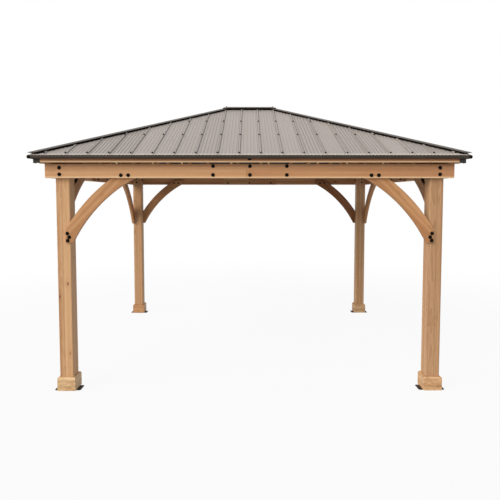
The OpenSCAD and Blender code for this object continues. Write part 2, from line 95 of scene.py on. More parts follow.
# the nodes of one material, or of the world
class Paint:
    def __init__(self, name, tree=None):
        if tree is None:
            self.material = bpy.data.materials.new(name)
            self.material.use_nodes = True
            tree = self.material.node_tree
        self.tree = tree
        tree.nodes.clear()

    def find(self, sockets, key):
        if isinstance(key, int):
            return sockets[key]
        return next(s for s in sockets if key in (s.identifier, s.name))

    # one way for every node: its type, its settings, its sockets by order or by name
    def node(self, kind, settings=None, out=0, values=(), **sockets):
        made = self.tree.nodes.new("ShaderNode" + kind)
        for key, value in (settings or {}).items():
            if key == "stops":
                ramp = made.color_ramp.elements
                while len(ramp) < len(value):
                    ramp.new(1.0)
                for element, (place, colour) in zip(ramp, value):
                    element.position, element.color = place, (*colour, 1.0)
            else:
                setattr(made, key, value)
        for key, value in [*enumerate(values), *sockets.items()]:
            socket = self.find(made.inputs, key)
            if isinstance(value, Wire):
                self.tree.links.new(value.socket, socket)
            elif socket.type == "RGBA":
                socket.default_value = (*value, 1.0)
            else:
                socket.default_value = value
        return Wire(self, self.find(made.outputs, out)) if len(made.outputs) else None

    def mix(self, share, first, second, blend="MIX"):  # colours
        return self.node("Mix", dict(data_type="RGBA", blend_type=blend), "Result_Color", Factor_Float=share,
                         A_Color=first, B_Color=second)

    def noise(self, place, scale, detail, out="Fac"):
        return self.node("TexNoise", None, out, Vector=place, Scale=scale, Detail=detail)

    def place(self):  # object coordinates and their three parts
        here = self.node("TexCoord", out="Object")
        apart = self.node("SeparateXYZ", values=(here,))
        return here, apart, apart.also("Y"), apart.also("Z")

    def point(self, x, y, z):
        return self.node("CombineXYZ", values=(x, y, z))

    def facingUp(self):  # height of the face's normal: 1 on level tops, -1 on undersides
        return self.node("SeparateXYZ", None, "Z", values=(self.node("NewGeometry", out="True Normal"),))

    def surface(self, colour, rough, height, look):
        normal = self.node("Bump", None, Strength=look["bump"], Distance=look["bumpDepth"], Height=height)
        shader = self.node("BsdfPrincipled", **{"Base Color": colour, "Roughness": rough, "Normal": normal,
                                                "Specular IOR Level": look["gloss"]})
        self.node("OutputMaterial", Surface=shader)
        return self.material


# camera at the photograph's view
photoView = dict(place=(-0.016, -6.33, 2.018), down=0.0572, turn=0.0036,
                 focalPx=466.3, framePx=500, axisPx=220.7, sensor=36.0, farthest=500.0)


def makeCamera(view):
    lens = bpy.data.cameras.new("photo_view")
    lens.sensor_width, lens.clip_end = view["sensor"], view["farthest"]
    lens.lens = view["focalPx"] / view["framePx"] * view["sensor"]
    lens.shift_y = (view["axisPx"] - view["framePx"] / 2) / view["framePx"]
    camera = bpy.data.objects.new("photo_view", lens)
    camera.location = view["place"]
    camera.rotation_euler = (math.pi / 2 - view["down"], 0.0, -view["turn"])
    scene.collection.objects.link(camera)
    scene.camera = camera


# soft warm key from the left front, cooler light from all round that falls off overhead, white behind
studio = dict(keyFrom=(-0.68, -0.56, 0.47), keyLevel=2.52, keyColour=(1.0, 0.92, 0.80), keySpread=0.8,
              levelColour=(0.71, 0.75, 0.82), aboveColour=(0.42, 0.45, 0.50), lowest=0.1, highest=0.9)
plainWhite = (1.0, 1.0, 1.0)


def seenDirectly(paint):  # 1 for camera, glossy and transmission rays
    path = paint.node("LightPath", out="Is Camera Ray")
    return path.most(path.also("Is Glossy Ray")).most(path.also("Is Transmission Ray"))


def lightStudio(look):
    scene.world = bpy.data.worlds.new("studio")
    scene.world.use_nodes = True
    paint = Paint("studio", scene.world.node_tree)
    upward = paint.node("SeparateXYZ", None, "Z", values=(paint.node("TexCoord", out="Generated"),))
    sky = paint.mix(upward.step(look["lowest"], look["highest"]), look["levelColour"], look["aboveColour"])
    around = paint.node("Background", Color=sky, Strength=1.0)
    white = paint.node("Background", Color=plainWhite, Strength=1.0)
    shader = paint.node("MixShader", values=(seenDirectly(paint), around, white))
    paint.node("OutputWorld", Surface=shader)
    key = bpy.data.lights.new("key", "SUN")
    key.energy, key.color, key.angle = look["keyLevel"], look["keyColour"], look["keySpread"]
    lamp = bpy.data.objects.new("key", key)
    lamp.rotation_euler = Vector(look["keyFrom"]).to_track_quat("Z", "Y").to_euler()
    scene.collection.objects.link(lamp)


# quads between the rows of a grid of points, each row a closed ring
def ringQuads(rows, columns):
    r, c = np.meshgrid(np.arange(rows - 1), np.arange(columns), indexing="ij")
    n = (c + 1) % columns
    corners = [r * columns + c, r * columns + n, (r + 1) * columns + n, (r + 1) * columns + c]
    return np.stack(corners, -1).reshape(-1, 4)


def makeMesh(name, points, faces, material):  # faces: one array for each number of corners
    mesh = bpy.data.meshes.new(name)
    mesh.from_pydata(points.reshape(-1, 3), [], [face for array in faces for face in array.tolist()])
    mesh.validate()
    mesh.materials.append(material)
    piece = bpy.data.objects.new(name, mesh)
    scene.collection.objects.link(piece)
    return piece


# a shape turned about Z, set at each place with its Z along the outward arrow there
def setCopies(shape, places, outward):
    isUpright = np.abs(outward[:, 2:3]) > 0.95  # such an arrow can't be its own upward direction
    up = np.where(isUpright, [[0.0, 1.0, 0.0]], [[0.0, 0.0, 1.0]])
    side = np.cross(up, outward)
    side /= np.linalg.norm(side, axis=1, keepdims=True)
    basis = np.stack([side, np.cross(outward, side), outward], 1)  # rows are the copy's own axes
    return np.einsum("pk,nkx->npx", shape, basis) + places[:, None, :]


def repeated(faces, points, copies):  # the faces of one shape, numbered on for each copy
    start = points * np.arange(copies)[:, None, None]
    return [(array[None] + start).reshape(-1, array.shape[1]) for array in faces]


def copiesMesh(name, shape, faces, places, outward, material):
    points = setCopies(shape, places, outward)
    return makeMesh(name, points, repeated(faces, len(shape), len(places)), material)


# revolved shape: each row is a ring of a radius and a height, and a flat face closes each end;
# a hexagonal ring's radius grows from the middles of its flats to its corners by one over the cosine
def turned(rings, sides):
    radius, height, isHex = (np.array(column, float) for column in zip(*rings))
    turn = np.arange(sides) * 2 * np.pi / sides
    toCorner = 1.0 / np.cos((turn + np.pi / 6) % (np.pi / 3) - np.pi / 6)
    reach = radius[:, None] * np.where(isHex[:, None] > 0, toCorner[None], 1.0)
    points = np.stack([reach * np.cos(turn), reach * np.sin(turn), np.repeat(height[:, None], sides, 1)], -1)
    first, last = np.arange(sides)[::-1], np.arange(sides) + (len(rings) - 1) * sides
    return points.reshape(-1, 3), [ringQuads(len(rings), sides), np.stack([first, last])]


# the four sides in turn: places on the front, or arrows there, turned about Z to that side
sideTurns = dict(front=0, right=90, back=180, left=270)


def toSide(side, places):
    a = math.radians(sideTurns[side])
    turn = np.array([[math.cos(a), math.sin(a), 0], [-math.sin(a), math.cos(a), 0], [0, 0, 1]])
    return places @ turn


# floor: a wide disc, radius times angle, with its rings closer in the middle, that fades to white
floorLook = dict(radius=90.0, rings=24, sides=96, closeness=3, colour=(0.56, 0.56, 0.56),
                 near=3.0, far=9.0, nearWhite=0.93)


def makeFloor(look):
    paint = Paint("pale_floor")
    _, x, y, _ = paint.place()
    away = (x * x + y * y).root().step(look["near"], look["far"])
    white = (away * (1 - look["nearWhite"]) + look["nearWhite"]) * seenDirectly(paint)
    bare = paint.node("BsdfDiffuse", Color=look["colour"])
    glow = paint.node("Emission", Color=plainWhite, Strength=1.0)
    paint.node("OutputMaterial", Surface=paint.node("MixShader", values=(white, bare, glow)))
    radius = look["radius"] * np.linspace(0, 1, look["rings"]) ** look["closeness"]
    turn = np.arange(look["sides"]) * 2 * np.pi / look["sides"]
    points = np.stack([np.outer(radius, np.cos(turn)), np.outer(radius, np.sin(turn)),
                       np.zeros((look["rings"], look["sides"]))], -1)
    makeMesh("floor", points, [ringQuads(look["rings"], look["sides"])], paint.material)


makeCamera(photoView)
lightStudio(studio)
makeFloor(floorLook)
print("stage: camera, light and floor")


# cedar with a light stain: rings round a pith beside the board, streaks and fibres drawn out along
# the grain, knots in some cells, and a tone of its own for each board
cedarLook = dict(
    stops=[(0.0, (0.24, 0.108, 0.043)), (0.38, (0.42, 0.222, 0.098)), (0.62, (0.545, 0.318, 0.150)),
           (1.0, (0.70, 0.47, 0.25))],
    tint=(1.0, 0.94, 0.93), lowTint=(1.0, 0.86, 0.80), lowTones=(0.2, 0.9),  # lowTint: boards of a low tone
    # after the knots' colour: the colour of painted light, then the tint of painted shade
    knot=(0.15, 0.062, 0.028), pale=(0.92, 0.65, 0.38), deep=(0.66, 0.56, 0.52),
    # the near-black colour of painted shadow, and how far a face must turn up to take it
    shadowColour=(0.004, 0.003, 0.002), shadowFacing=(0.1, 0.3), jointDark=0.75,
    seed=1, middle=0.56, boardTone=0.44, boardShift=11.0, streaks=0.95, speckle=0.0,
    # each pattern's scale along the grain and across it, its detail, and what it does to the surface
    scale=dict(knot=(2.6, 6.5), wander=(0.8, 5), streak=(0.30, 26), cloud=(0.22, 7), fibre=(16, 520),
               speckle=(26, 60)),
    detail=dict(wander=3.0, streak=3.0, cloud=1.0, fibre=2.0, speckle=3.0),
    shade=dict(cloud=0.55, ring=0.20, fibre=0.30, knot=0.12),
    height=dict(fibre=0.35, ring=0.5, knot=0.6, joint=3),
    roughness=dict(plain=0.60, fibre=0.2, ring=0.08),
    ringWidth=0.0075, ringSharpness=2.5, ringMean=0.3, pithSpread=0.30, pithWander=0.11, pithBend=0.014,
    knotShare=0.30, knotScale=1.0, knotReach=(0.0, 0.42), knotEdge=(0.045, 0.105), knotDark=0.85,
    paintedLight=None, deepen=None, paintedShadow=None, gloss=0.3, bump=0.35, bumpDepth=0.0006)


# three numbers from 0 to 1 for each board, from a sine of its number
def boardChances(number, seed):
    first = (((number + seed) * 7.317).sine() * 157.31).fract()
    return first, (first * 37.7).fract(), (first * 91.3).fract()


def cedar(name, grain, board, lines=None, **changes):
    look = dict(cedarLook, **changes)
    paint = Paint(name)
    _, x, y, z = paint.place()
    along, across, depth = grain(x, y, z)
    tone, aside, behind = boardChances(board(x, y, z), look["seed"])
    along = along + tone * look["boardShift"]

    def drawnOut(pattern):  # the place in the board, scaled for a pattern
        byLength, byWidth = look["scale"][pattern]
        return paint.point(along * byLength, across * byWidth, depth * byWidth)

    def grainNoise(pattern, out="Fac"):
        return paint.noise(drawnOut(pattern), 1.0, look["detail"][pattern], out)

    # knots: cells longer along the grain than across it, of which a share is picked
    cell = paint.node("TexVoronoi", None, "Distance", Vector=drawnOut("knot"), Scale=look["knotScale"],
                      Randomness=1.0)
    picked = paint.node("SeparateXYZ", values=(cell.also("Color"),)) < look["knotShare"]
    nearKnot = picked * (1 - cell.step(*look["knotReach"]))
    knot = picked * (1 - cell.step(*look["knotEdge"]))
    # rings round the pith, which wanders along the board and bends round the knots
    wander = paint.node("SeparateXYZ", values=(grainNoise("wander", "Color"),))
    spread, bends = look["pithSpread"], look["pithWander"]
    pithAcross = across + aside.centred() * spread + wander.centred() * bends
    pithDepth = depth + behind.centred() * spread + wander.also("Y").centred() * bends
    radius = (pithAcross * pithAcross + pithDepth * pithDepth).root() + nearKnot * look["pithBend"]
    late = (radius / look["ringWidth"]).fract() ** look["ringSharpness"]
    streak, cloud, fibre = (grainNoise(pattern) for pattern in ("streak", "cloud", "fibre"))
    shift = look["shade"]
    shade = (look["middle"] + streak.centred() * look["streaks"] + cloud.centred() * shift["cloud"]
             - (late - look["ringMean"]) * shift["ring"] + fibre.centred() * shift["fibre"]
             + tone.centred() * look["boardTone"] - nearKnot * shift["knot"])
    if look["speckle"]:
        shade = shade + grainNoise("speckle").centred() * look["speckle"]
    stops = [(place, tuple(np.multiply(colour, look["tint"]))) for place, colour in look["stops"]]
    colour = paint.node("ValToRGB", dict(stops=stops), "Color", values=(shade,))
    colour = paint.mix((1 - tone).step(*look["lowTones"]), colour, look["lowTint"], "MULTIPLY")
    colour = paint.mix(knot * look["knotDark"], colour, look["knot"])
    if look["deepen"]:  # painted shade: places where shade falls are darker
        colour = paint.mix(look["deepen"](x, y, z), colour, look["deep"], "MULTIPLY")
    if look["paintedLight"]:  # painted light: lit lower edges, lit middles of cut ends and lit side boards
        colour = paint.mix(look["paintedLight"](x, y, z), colour, look["pale"])
    if look["paintedShadow"]:  # painted shadow on the upper curved edge, dark where it runs in under the beam
        upward = paint.facingUp().step(*look["shadowFacing"])
        colour = paint.mix(look["paintedShadow"](x, y, z) * upward, colour, look["shadowColour"])
    rise = look["height"]
    height = fibre * rise["fibre"] - late * rise["ring"] - knot * rise["knot"]
    if lines:
        gap = lines(x, y, z)
        colour = paint.mix(gap * look["jointDark"], colour, look["knot"])
        height = height - gap * rise["joint"]
    rough = look["roughness"]
    return paint.surface(colour, rough["plain"] + fibre.centred() * rough["fibre"] - late * rough["ring"],
                         height, look)


# grain frames: along the grain, then two directions across it
def grainX(x, y, z): return x, y, z
def grainY(x, y, z): return y, x, z
def grainZ(x, y, z): return z, x, y


def thinLine(distance, width=0.0011):  # 1 on a joint, fading over its width
    return 1 - abs(distance).step(width * 0.4, width)


def cornerBoard(x, y, z):  # one board to each quarter of the plan
    return (x > 0.0) + (y > 0.0) * 2


# posts: four boards glued together, so each face shows one joint
postLook = dict(mid=(postOut[0] - postWidth / 2, postOut[1] - postWidth / 2), joint=(0.010, -0.008))


def postGrain(x, y, z):
    return z, abs(x) - postLook["mid"][0], abs(y) - postLook["mid"][1]


def postBoard(x, y, z):
    _, across, depth = postGrain(x, y, z)
    jointAcross, jointDepth = postLook["joint"]
    return cornerBoard(x, y, z) + (across > jointAcross) * 4 + (depth > jointDepth) * 8


def postLines(x, y, z):
    _, across, depth = postGrain(x, y, z)
    jointAcross, jointDepth = postLook["joint"]
    return thinLine(across - jointAcross).most(thinLine(depth - jointDepth))


# plinths: two boards to a side, and the side boards are paler with painted light, most on the left
plinthLook = dict(joint=0.058, jointWidth=0.0016, pale=0.42, paleLessRight=0.25)


def plinthIsLong(x, y, z):
    return abs(abs(y) - postLook["mid"][1]) > postWidth / 2


def plinthGrain(x, y, z):
    isLong = plinthIsLong(x, y, z)
    return x * isLong + y * (1 - isLong), z, y * isLong + x * (1 - isLong)


def plinthBoard(x, y, z):
    return cornerBoard(x, y, z) + (z > plinthLook["joint"]) * 4 + plinthIsLong(x, y, z) * 8


def plinthLines(x, y, z):
    return thinLine(z - plinthLook["joint"], plinthLook["jointWidth"])


# painted light on the side boards, strongest on the left
def plinthSideLight(x, y, z):
    return (1 - plinthIsLong(x, y, z)) * (plinthLook["pale"] - (x > 0.0) * plinthLook["paleLessRight"])


braceLook = dict(lean=math.radians(46))


def braceGrainAcross(x, y, z):
    c, s = math.cos(braceLook["lean"]), math.sin(braceLook["lean"])
    return abs(x) * -c + z * s, abs(x) * s + z * c, y


def braceGrainAlong(x, y, z):
    return braceGrainAcross(y, x, z)


beamLook = dict(joint=0.037, thick=0.045, spliceIn=0.05)  # spliceIn: how far in from the post's face


def beamBoardAcross(x, y, z):
    out = (y > 0.0) * 2 - 1  # the back beam is the front one turned about
    return (x * out < beamLook["joint"]) + (y > 0.0) * 2


def beamBoardAlong(x, y, z):
    out = (x > 0.0) * 2 - 1
    return (y * out > -beamLook["joint"]) + (x > 0.0) * 2


def spliceGrain(x, y, z):
    isSide = abs(x) > postOut[0] - beamLook["spliceIn"]
    return y * isSide + x * (1 - isSide), z, x * isSide + y * (1 - isSide)


# rafters: places from the middle of each side, a board number from the place along the eave,
# and the painted light: a pale spot on the cut ends over the beam
rafterLook = dict(front=(0.184, 0.671, 0.957, 1.315), side=(0.366, 0.652, 1.010), numbersPerMetre=6.0,
                  spot=(0.006, 0.012))


def slopeIsSide(x, y, z):
    return abs(x) > abs(y) + ridgeHalf


def rafterGrain(x, y, z):
    isSide = slopeIsSide(x, y, z)
    out = abs(x) * isSide + abs(y) * (1 - isSide)
    c, s = math.cos(pitch), math.sin(pitch)
    return z * s - out * c, out * s + z * c, y * isSide + x * (1 - isSide)


def rafterBoard(x, y, z):
    isSide = slopeIsSide(x, y, z)
    alongEave = y * isSide + x * (1 - isSide)
    number = (alongEave * rafterLook["numbersPerMetre"]).floor()
    return number + (x > 0.0) * 17 + (y > 0.0) * 29  # so that the sides don't repeat each other


def hipGrain(x, y, z):
    out = (abs(x) + abs(y)) * math.sqrt(0.5)
    lean = math.atan(math.tan(pitch) * math.sqrt(0.5))
    c, s = math.cos(lean), math.sin(lean)
    return z * s - out * c, out * s + z * c, (abs(x) - abs(y)) * math.sqrt(0.5)


purlinLook = dict(split=0.35)  # height over the eave between the two purlins of a slope


def purlinBoard(x, y, z):
    return (z > eaveZ + purlinLook["split"]) + cornerBoard(x, y, z) * 2


def ridgeBoard(x, y, z):  # a single board
    return z > 0.0


# where timbers are paler with painted light or darker with painted shade: two heights over an edge, or places
# along x, and how much
shadeSpan = dict(beamLitEdge=(0.010, 0.017), beamTopShade=(-0.070, -0.005), beamShadeToRight=(0.5, 1.7),
                 braceHead=(-0.075, -0.020), fasciaLitEdge=(0.006, 0.020), fasciaTopShade=(0.015, 0.045),
                 rafterFootShade=(0.010, 0.050), rafterEndLight=(0.0, 0.001))
shadeShare = dict(beamLitEdge=0.75, beamTopShade=0.45, beamShadeToRight=0.38, braceHead=0.96, fasciaLitEdge=0.75, fasciaTopShade=0.85,
                  rafterEndLight=0.95)


def over(place, edge, key):  # from 0 to 1 between the two places of a span
    low, high = shadeSpan[key]
    return place.step(edge + low, edge + high)


# painted highlight along the beams' lower edges
def beamLitEdge(x, y, z): return (1 - over(z, beamLow, "beamLitEdge")) * shadeShare["beamLitEdge"]
# painted shade of the eave along the top of the beams
def beamTopShade(x, y, z): return over(z, beamHigh, "beamTopShade") * shadeShare["beamTopShade"]
# painted shade along the top, and painted shade growing towards the right, away from the key light
def beamShadeToRight(x, y, z): return beamTopShade(x, y, z).most(over(x, 0.0, "beamShadeToRight") * shadeShare["beamShadeToRight"])
# painted shadow, near black, on the braces' upper edges where they run in under the beam
def braceHead(x, y, z): return over(z, beamLow, "braceHead") * shadeShare["braceHead"]
# painted highlight along the fascias' lower edges
def fasciaLitEdge(x, y, z): return (1 - over(z, fasciaLow, "fasciaLitEdge")) * shadeShare["fasciaLitEdge"]
# painted shade of the eave trim along the top of the fascias
def fasciaTopShade(x, y, z): return over(z, fasciaLow, "fasciaTopShade") * shadeShare["fasciaTopShade"]
# painted shade, near black, on the rafters' feet in the gap between the fascia and the beam
def rafterFootShade(x, y, z): return 1 - over(z, fasciaLow, "rafterFootShade")


def rafterEndLight(x, y, z):  # painted light on the middle of each cut end, down in the gap over the beam and outside its boards
    isSide = slopeIsSide(x, y, z)
    nearFront, nearSide = (functools.reduce(Wire.least, [abs(abs(u) - c) for c in rafterLook[key]])
                           for u, key in ((x, "front"), (y, "side")))
    near = nearFront * (1 - isSide) + nearSide * isSide
    out = abs(x) * isSide + (abs(y) + ridgeHalf) * (1 - isSide)
    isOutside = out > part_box("right_beam")[1].x - beamLook["thick"]
    low = 1 - over(z, fasciaLow, "rafterEndLight")
    return low * (1 - near.step(*rafterLook["spot"])) * isOutside * shadeShare["rafterEndLight"]


def eachOf(*starts):  # the nodes whose names start so
    return [name for name in nodes if name.startswith(starts)]


frameShadeTint, beamTint = (0.74, 0.64, 0.60), (1.08, 0.95, 0.92)  # timbers inside the roof are darker with painted shade
smallKnots = dict(knotScale=2.2, knotShare=0.45)
# beams and fascias: a painted highlight along their lower edges; the fascias also painted shade along their
# tops
beamCommon = dict(tint=beamTint, lowTint=(1.0, 0.96, 0.95), paintedLight=beamLitEdge)
fasciaCommon = dict(smallKnots, tint=(0.80, 0.64, 0.60), paintedLight=fasciaLitEdge, deepen=fasciaTopShade)
timber = {  # nodes, grain, boards, joint lines and what differs from the common look
    "cedar_posts": (eachOf("post_"), postGrain, postBoard, postLines,
                    dict(seed=545, tint=(1.0, 0.93, 0.92), lowTint=(1.06, 1.20, 1.38), boardTone=0.36,
                         knotScale=1.5)),
    "cedar_plinths": (eachOf("plinth_"), plinthGrain, plinthBoard, plinthLines,
                      dict(seed=261, tint=(1.12, 1.20, 1.29), speckle=0.9, knotShare=0.6, knotScale=2.4,
                           boardTone=0.3, paintedLight=plinthSideLight)),
    # braces: painted shadow on their upper edges under the beam
    "cedar_braces_across": (eachOf("brace_front", "brace_back"), braceGrainAcross, cornerBoard, None,
                            dict(smallKnots, seed=87, tint=(0.97, 0.91, 0.86), boardTone=1.0,
                                 paintedShadow=braceHead)),
    "cedar_braces_along": (eachOf("brace_left", "brace_right"), braceGrainAlong, cornerBoard, None,
                           dict(smallKnots, seed=127, tint=(0.96, 0.86, 0.78), paintedShadow=braceHead)),
    "cedar_beams_across": (["front_beam", "back_beam"], grainX, beamBoardAcross, None,
                           dict(beamCommon, seed=12, deepen=beamShadeToRight)),
    "cedar_beams_along": (["left_beam", "right_beam"], grainY, beamBoardAlong, None,
                          dict(beamCommon, seed=31, deepen=beamTopShade)),
    "cedar_splices": (["beam_splices"], spliceGrain, cornerBoard, None,
                      dict(seed=7, tint=np.multiply(beamTint, 0.85))),
    "cedar_packers": (["beam_packers"], grainZ, cornerBoard, None, dict(seed=8, tint=beamTint)),
    "cedar_ridge": (["ridge_board"], grainX, ridgeBoard, None, dict(seed=9, tint=frameShadeTint)),
    # rafters: painted light on their cut ends and near-black painted shade on their feet
    "cedar_rafters": (["common_rafters", "jack_rafters"], rafterGrain, rafterBoard, None,
                      dict(seed=10, tint=frameShadeTint, paintedLight=rafterEndLight, deepen=rafterFootShade,
                           deep=(0.10, 0.08, 0.07))),
    "cedar_hips": (["hip_rafters"], hipGrain, cornerBoard, None, dict(seed=11, tint=frameShadeTint)),
    "cedar_purlins_across": (["front_purlins", "back_purlins"], grainX, purlinBoard, None,
                             dict(seed=12, tint=frameShadeTint)),
    "cedar_purlins_along": (["left_purlins", "right_purlins"], grainY, purlinBoard, None,
                            dict(seed=13, tint=frameShadeTint)),
    "cedar_fascia_across": (["front_fascia", "back_fascia"], grainX, cornerBoard, None,
                            dict(fasciaCommon, seed=14)),
    "cedar_fascia_along": (["left_fascia", "right_fascia"], grainY, cornerBoard, None,
                           dict(fasciaCommon, seed=15)),
}
# rounded edges: join and mitreJoin are the gaps that are closed first, so that the fascia's short mitre
# edges don't hold the rounding back; packers stay sharp, because two of them meet in an edge
easedEdge = dict(width=0.0025, steps=2, angle=math.radians(25), flat=math.radians(0.5), join=0.00005,
                 mitreJoin=0.0007, leftOver=0.00002, sharp=["beam_packers"],
                 mitred=["front_fascia", "back_fascia", "left_fascia", "right_fascia"])


def easeEdges(piece, look):  # the loose triangles are joined into faces before their edges are rounded
    weld = piece.modifiers.new("join", "WELD")
    weld.merge_threshold = look["mitreJoin" if piece.name in look["mitred"] else "join"]
    flat = piece.modifiers.new("flat", "DECIMATE")
    flat.decimate_type, flat.angle_limit = "DISSOLVE", look["flat"]
    ease = piece.modifiers.new("ease", "BEVEL")
    ease.width, ease.segments, ease.angle_limit = look["width"], look["steps"], look["angle"]
    ease.limit_method, ease.harden_normals = "ANGLE", False
    tidy = piece.modifiers.new("tidy", "WELD")  # points that the rounding leaves on one spot
    tidy.merge_threshold = look["leftOver"]


def dress(name, material):
    nodes[name].data.materials.clear()
    nodes[name].data.materials.append(material)


for finish, (names, grain, board, lines, changes) in timber.items():
    material = cedar(finish, grain, board, lines, **changes)
    for name in names:
        dress(name, material)
        if name not in easedEdge["sharp"]:
            easeEdges(nodes[name], easedEdge)
print("timber:", len(timber), "finishes")


# roof sheets: warm grey coat, a little different from panel to panel, with dark lines at each seam's feet,
# the lap's edge and painted shade, painted shade on the small ribs of some panels, a painted highlight along
# the eave edge and painted shade making the underside dark
sheetLook = dict(
    colour=(0.352, 0.310, 0.280), pale=(0.400, 0.355, 0.322), middle=0.35,
    panelVary=0.5, streakVary=0.5, streakScale=(30, 0.9), streakDetail=3.0,
    speckVary=0.25, speckScale=900.0, speckDetail=2.0,
    under=(0.018, 0.015, 0.013), turnToUndersideShade=(-0.3, 0.0),
    ribs=6, ribShade=(0.64, 0.63, 0.62), ribShadeFade=(0.003, 0.010), ribShadePanels=(0.35, 0.75),
    lap=(0.07, 0.058, 0.05), lapAt=0.0114, lapFade=(0.0012, 0.0030), lapShare=0.8,
    edge=(0.52, 0.47, 0.43), eaveHighlightFade=(0.0308, 0.044), eaveHighlightShare=0.9,
    rough=0.45, roughVary=0.15, gloss=0.35, bump=0.12, bumpDepth=0.0004)


def fromLine(count):  # distance from the nearest whole number, 0 to one half
    return abs((count + 0.5).fract().centred())


def sheetFinish(name, isSide, look=sheetLook):
    paint = Paint(name)
    here, x, y, z = paint.place()
    span, run, eave = (y, x, halfLong) if isSide else (x, y, halfWide)
    panel = span / seamPitch + 0.5
    chance = paint.node("TexWhiteNoise", dict(noise_dimensions="1D"), "Value",
                        W=panel.floor() + (run > 0.0) * 31)  # panels of the two slopes differ
    bySpan, byRun = look["streakScale"]
    streak = paint.noise(paint.point(span * bySpan, run * byRun, z), 1.0, look["streakDetail"])
    speck = paint.noise(here, look["speckScale"], look["speckDetail"])
    share = (look["middle"] + chance.centred() * look["panelVary"] + streak.centred() * look["streakVary"]
             + speck.centred() * look["speckVary"])
    colour = paint.mix(share, look["colour"], look["pale"])
    fromRib = fromLine(panel * look["ribs"]) * (seamPitch / look["ribs"])
    hasRibShade = (chance * 7.3).fract().step(*look["ribShadePanels"])  # by a second chance for each panel
    # painted shade on the small ribs of some panels
    colour = paint.mix((1 - fromRib.step(*look["ribShadeFade"])) * hasRibShade, colour, look["ribShade"], "MULTIPLY")
    # dark lines at both feet of each seam: the lap's edge, darkened with painted shade
    lap = 1 - abs(fromLine(panel) * seamPitch - look["lapAt"]).step(*look["lapFade"])
    colour = paint.mix(lap * look["lapShare"], colour, look["lap"])
    # painted highlight along the sheet's edge at the eave
    edge = 1 - (eave - abs(run)).step(*look["eaveHighlightFade"])
    colour = paint.mix(edge * look["eaveHighlightShare"], colour, look["edge"])
    # painted shade: the undersides are near black
    colour = paint.mix(paint.facingUp().step(*look["turnToUndersideShade"]), look["under"], colour)
    return paint.surface(colour, look["rough"] + streak.centred() * look["roughVary"], speck, look)


# coated metal and foam: a dark coat, cloudy with wear, and fine specks
trimLook = dict(colour=(0.038, 0.027, 0.020), worn=(0.062, 0.046, 0.035), rough=0.45, gloss=0.18,
                cloudScale=6.0, cloudDetail=4.0, wear=(0.35, 0.75), wearShare=0.6,
                speckScale=700.0, speckDetail=2.0, speckShare=0.2,
                roughVary=0.15, bump=0.1, bumpDepth=0.0003)
capLook = dict(trimLook, colour=(0.050, 0.034, 0.024), worn=(0.080, 0.058, 0.043), rough=0.36, gloss=0.24)
blackLook = dict(trimLook, colour=(0.004, 0.0034, 0.003), worn=(0.009, 0.008, 0.007), rough=0.55, gloss=0.06)
plateLook = dict(trimLook, colour=(0.030, 0.026, 0.023), worn=(0.06, 0.05, 0.044), rough=0.5, gloss=0.2)
greyLook = dict(trimLook, colour=(0.34, 0.30, 0.27), worn=(0.46, 0.42, 0.39), rough=0.4, gloss=0.5)
foamLook = dict(trimLook, colour=(0.006, 0.005, 0.0045), worn=(0.010, 0.009, 0.008), rough=0.9, gloss=0.02)


def trimFinish(name, look):
    paint = Paint(name)
    here = paint.place()[0]
    cloud = paint.noise(here, look["cloudScale"], look["cloudDetail"])
    speck = paint.noise(here, look["speckScale"], look["speckDetail"])
    wear = cloud.step(*look["wear"]) * look["wearShare"] + speck * look["speckShare"]
    colour = paint.mix(wear, look["colour"], look["worn"])
    return paint.surface(colour, look["rough"] + cloud.centred() * look["roughVary"], speck, look)


sheetAcross, sheetAlong = sheetFinish("sheet_across", False), sheetFinish("sheet_along", True)
trimMetal, capMetal = trimFinish("trim_metal", trimLook), trimFinish("cap_metal", capLook)
blackSteel, plateSteel = trimFinish("black_steel", blackLook), trimFinish("plate_steel", plateLook)
closureFoam, greyScrew = trimFinish("closure_foam", foamLook), trimFinish("grey_screw", greyLook)
metalNodes = {
    sheetAcross: ("front_roof_sheet", "back_roof_sheet"), sheetAlong: ("left_roof_sheet", "right_roof_sheet"),
    capMetal: ("hip_caps", "ridge_cap"), trimMetal: ("eave_trims",), blackSteel: ("trim_corner_caps",),
    plateSteel: ("fascia_brackets", "base_plates"), closureFoam: ("closure_strips",)}
for material, names in metalNodes.items():
    for name in names:
        dress(name, material)
print("metal: sheets, caps, trims and plates")


# bolts: a washer, a hexagonal head and its chamfer; rings of radius, height and whether hexagonal
boltShape = dict(rings=[(0.0188, -0.0005, 0), (0.0188, 0.0022, 0), (0.0181, 0.0030, 0), (0.0116, 0.0032, 0),
                        (0.0104, 0.0032, 1), (0.0104, 0.0106, 1), (0.0094, 0.0118, 0)], sides=24)
nutShape = dict(rings=[(0.0140, -0.0005, 0), (0.0140, 0.0020, 0), (0.0098, 0.0021, 0), (0.0088, 0.0021, 1),
                       (0.0088, 0.0085, 1), (0.0078, 0.0095, 0), (0.0050, 0.0095, 0), (0.0050, 0.0150, 0),
                       (0.0043, 0.0156, 0)], sides=24)
# distances in from the post's outer face, and heights; the side beams' bolts pass the others in the post
boltRows = dict(atPost=0.062, postHeights=dict(front=(2.277, 2.212), side=(2.300, 2.245)),
                braceHead=(0.669, 0.742), braceHeight=2.203,
                splice=(-0.365, 0.0, 0.365), spliceHeights=(2.293, 2.206),
                foot=((0.114, 1.622), (0.132, 1.585), (0.116, 1.550)), fascia=(-0.005, 2.361))


